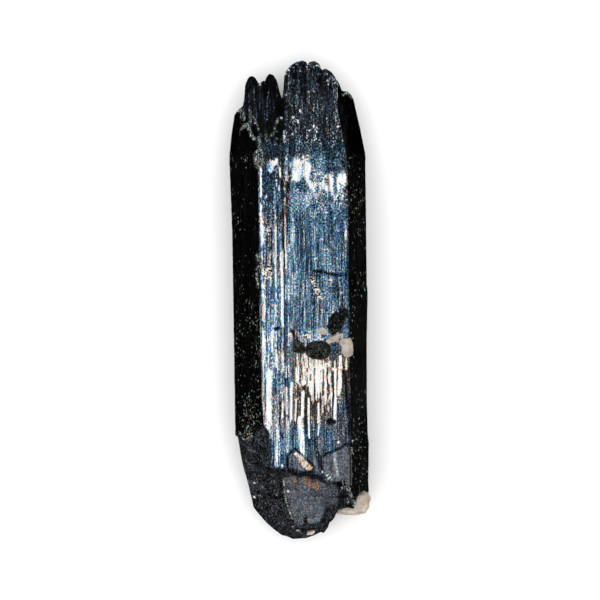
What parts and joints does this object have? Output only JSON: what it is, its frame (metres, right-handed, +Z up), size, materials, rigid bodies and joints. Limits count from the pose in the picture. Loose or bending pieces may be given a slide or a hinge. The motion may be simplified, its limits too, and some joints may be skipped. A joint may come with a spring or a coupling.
{
  "type": "aegirine crystal",
  "caption": "Black prismatic aegirine crystal with parallel-grown spires at one end and a broken base, striated front face, with small grains of feldspar and dark silicate on it.",
  "frame": {"origin": "middle of the underside of the bounding box, on the rear (100) face the crystal lies on", "axes": "+Y runs along the crystal's c axis towards the spires, +Z is up out of the striated front (100) face, +X is to the right when the front face is seen with the spires upwards"},
  "size_m": [0.0225, 0.076, 0.0139],
  "materials": {
    "aegirine": "black, vitreous, striated along its length, with a steel-blue sheen on the front face",
    "feldspar": "cream to pinkish beige, fine grained, dull",
    "dark_silicate": "greenish black, uneven, slightly glossy"
  },
  "bodies": {
    "root": {"aegirine_crystal": "aegirine", "base_feldspar": "feldspar", "bottom_feldspar_grain": "feldspar", "feldspar_grain_left": "feldspar", "feldspar_grain_middle": "feldspar", "feldspar_grain_right": "feldspar", "dark_crystal": "dark_silicate", "dark_angular_grain": "dark_silicate", "dark_round_grain": "dark_silicate"}
  },
  "joints": []
}
